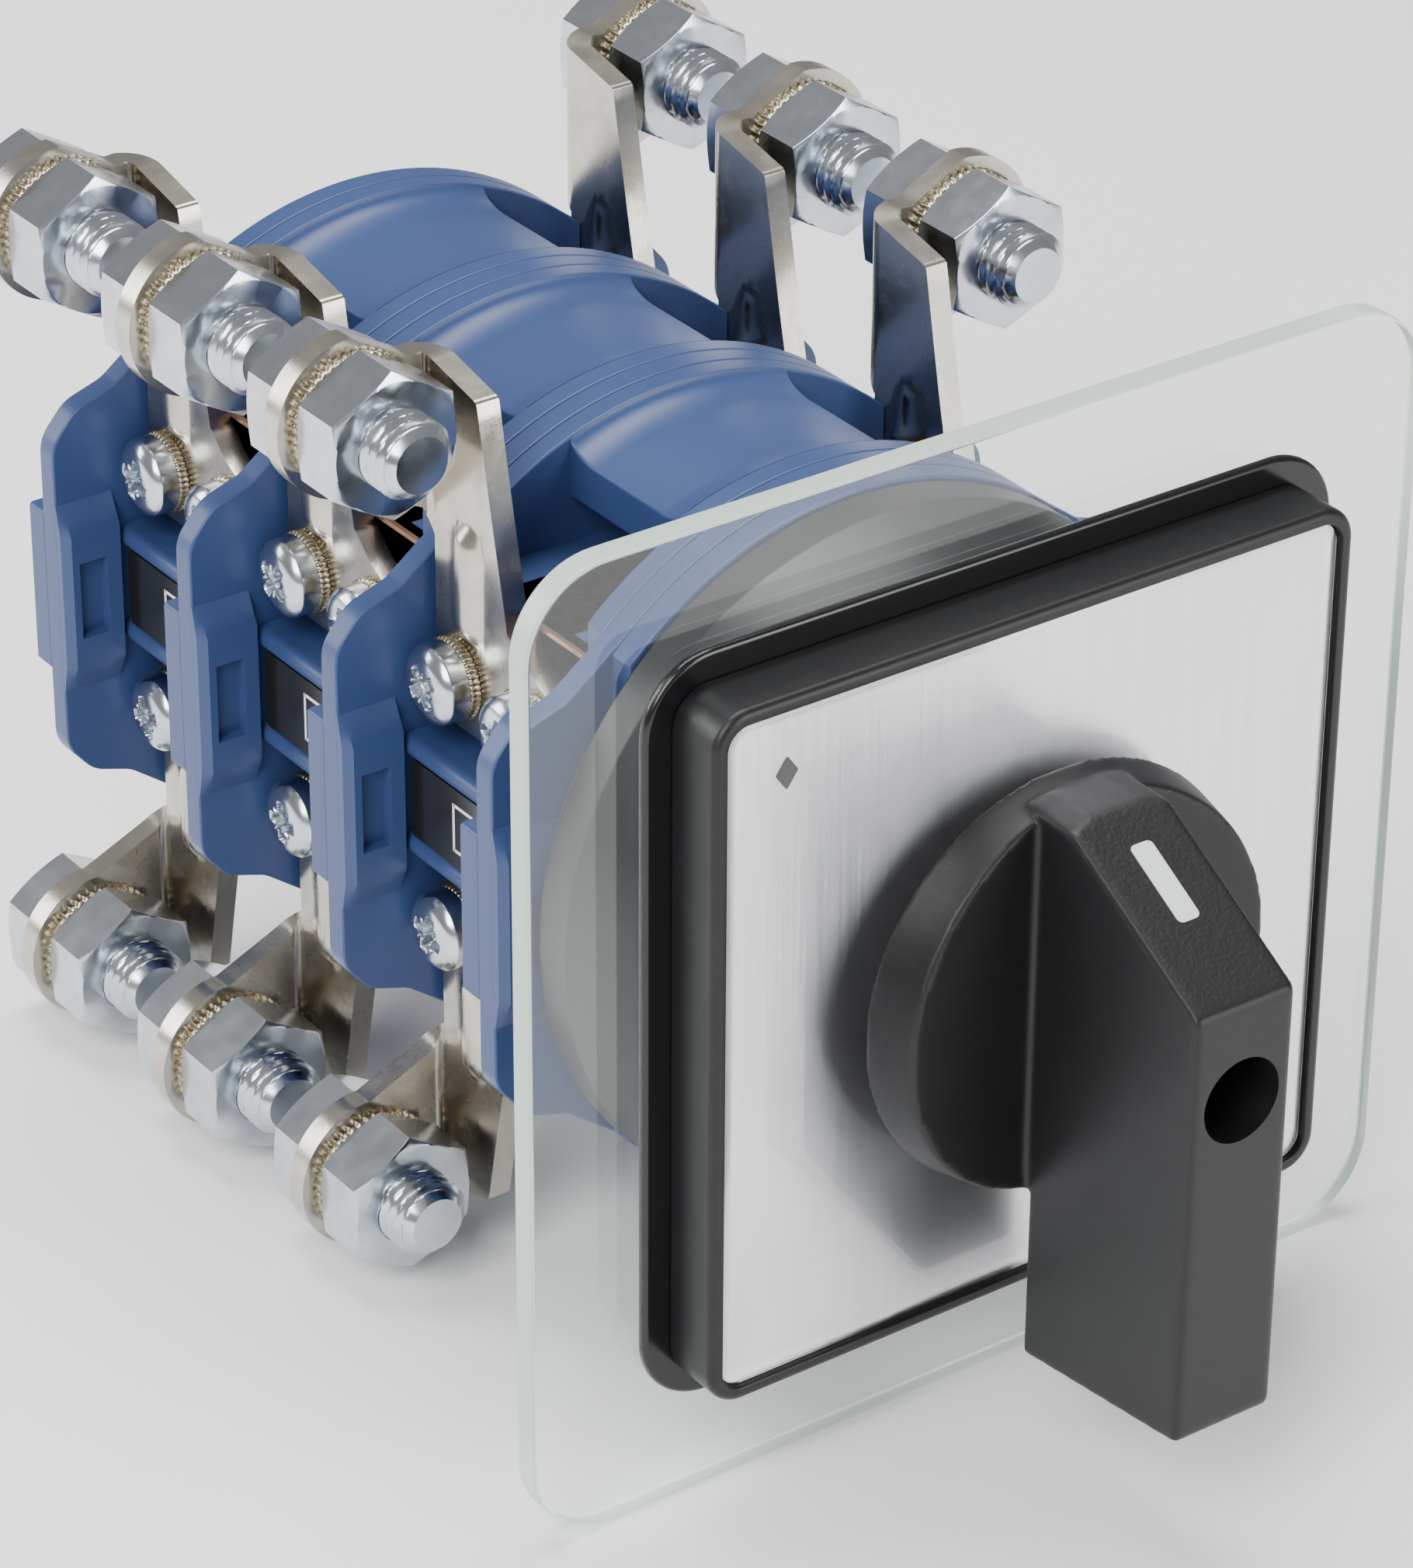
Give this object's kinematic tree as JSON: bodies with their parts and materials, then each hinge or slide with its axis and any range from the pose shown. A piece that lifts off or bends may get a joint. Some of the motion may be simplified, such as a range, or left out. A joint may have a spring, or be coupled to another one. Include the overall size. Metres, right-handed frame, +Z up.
{
  "type": "rotary isolator switch",
  "caption": "Panel-mounted rotary isolator: square escutcheon, turning handle, blue contact stages on a square shaft and folded lugs with bolted terminals.",
  "frame": {"origin": "where the shaft axis meets the front face of the panel", "axes": "+Z up, the handle faces -Y, +Y runs back along the shaft through the stages, +X to the right seen from the front"},
  "size_m": [0.1226, 0.1852, 0.1226],
  "materials": {
    "clear_acrylic": "clear, polished, pale green edges",
    "clear_cover": "clear, polished",
    "black_gloss": "gloss black",
    "black_matte": "fine-grained matte black",
    "indicator": "pale grey inlay",
    "brushed_plate": "brushed",
    "zinc": "bright zinc plated",
    "yellow_zinc": "yellowish zinc plated",
    "steel": "bright steel",
    "nickel": "nickel plated",
    "copper": "copper with silver tips",
    "dark_grey": "moulded dark grey",
    "blue": "moulded blue thermoset",
    "inner_plastic": "natural moulded",
    "label_black": "satin black"
  },
  "bodies": {
    "switch_body": {"clear_panel": "clear_acrylic", "sealing_frame": "black_gloss", "escutcheon_frame": "black_matte", "legend_plate": "brushed_plate", "clear_cover": "clear_cover", "mounting_screws": "zinc", "latch_housing": "dark_grey", "detent_rollers": "steel", "detent_springs": "steel", "front_flange": "blue", "partition_plate_1": "blue", "partition_plate_2": "blue", "partition_plate_3": "blue", "partition_plate_4": "blue", "stage_housing_1": "blue", "stage_housing_2": "blue", "stage_housing_3": "blue", "fixed_contacts_1": "copper", "fixed_contacts_2": "copper", "fixed_contacts_3": "copper", "contact_spring_top_1": "steel", "contact_spring_bottom_1": "steel", "contact_spring_top_2": "steel", "contact_spring_bottom_2": "steel", "contact_spring_top_3": "steel", "contact_spring_bottom_3": "steel", "lugs_left_upper": "nickel", "lugs_left_lower": "nickel", "lugs_right_upper": "nickel", "lugs_right_lower": "nickel", "terminal_bolts": "zinc", "terminal_lock_washers": "yellow_zinc", "terminal_nuts": "zinc", "clamp_screws": "zinc", "clamp_washers": "yellow_zinc", "marker_labels": "label_black", "rear_end_plate": "dark_grey", "tie_rods": "steel", "tie_rod_nuts": "steel"},
    "rotor": {"handle": "black_matte", "handle_indicator": "indicator", "handle_screw": "zinc", "drive_shaft": "zinc", "detent_star": "inner_plastic", "stage_cam_1": "inner_plastic", "stage_cam_2": "inner_plastic", "stage_cam_3": "inner_plastic"},
    "contacts_top_1": {"contact_bridge_top_1": "copper", "plunger_top_1": "inner_plastic"},
    "contacts_bottom_1": {"contact_bridge_bottom_1": "copper", "plunger_bottom_1": "inner_plastic"},
    "contacts_top_2": {"contact_bridge_top_2": "copper", "plunger_top_2": "inner_plastic"},
    "contacts_bottom_2": {"contact_bridge_bottom_2": "copper", "plunger_bottom_2": "inner_plastic"},
    "contacts_top_3": {"contact_bridge_top_3": "copper", "plunger_top_3": "inner_plastic"},
    "contacts_bottom_3": {"contact_bridge_bottom_3": "copper", "plunger_bottom_3": "inner_plastic"}
  },
  "joints": [
    {"name": "handle_turn", "type": "hinge", "parent": "switch_body", "child": "rotor", "pos_m": [0, 0, 0], "axis": [0, 1, 0], "range_deg": [0, 90]},
    {"name": "contact_slide_top_1", "type": "slide", "parent": "switch_body", "child": "contacts_top_1", "axis": [0, 0, -1], "range_m": [0, 0.003], "deforming": ["contact_spring_top_1"]},
    {"name": "contact_slide_bottom_1", "type": "slide", "parent": "switch_body", "child": "contacts_bottom_1", "axis": [0, 0, 1], "range_m": [0, 0.003], "deforming": ["contact_spring_bottom_1"]},
    {"name": "contact_slide_top_2", "type": "slide", "parent": "switch_body", "child": "contacts_top_2", "axis": [0, 0, -1], "range_m": [0, 0.003], "deforming": ["contact_spring_top_2"]},
    {"name": "contact_slide_bottom_2", "type": "slide", "parent": "switch_body", "child": "contacts_bottom_2", "axis": [0, 0, 1], "range_m": [0, 0.003], "deforming": ["contact_spring_bottom_2"]},
    {"name": "contact_slide_top_3", "type": "slide", "parent": "switch_body", "child": "contacts_top_3", "axis": [0, 0, -1], "range_m": [0, 0.003], "deforming": ["contact_spring_top_3"]},
    {"name": "contact_slide_bottom_3", "type": "slide", "parent": "switch_body", "child": "contacts_bottom_3", "axis": [0, 0, 1], "range_m": [0, 0.003], "deforming": ["contact_spring_bottom_3"]}
  ],
  "couplings": [
    {"joint": "contact_slide_top_1", "follows": "handle_turn", "m_per_rad": 0.0019098},
    {"joint": "contact_slide_bottom_1", "follows": "handle_turn", "m_per_rad": 0.0019098},
    {"joint": "contact_slide_top_2", "follows": "handle_turn", "m_per_rad": 0.0019098},
    {"joint": "contact_slide_bottom_2", "follows": "handle_turn", "m_per_rad": 0.0019098},
    {"joint": "contact_slide_top_3", "follows": "handle_turn", "m_per_rad": 0.0019098},
    {"joint": "contact_slide_bottom_3", "follows": "handle_turn", "m_per_rad": 0.0019098}
  ]
}
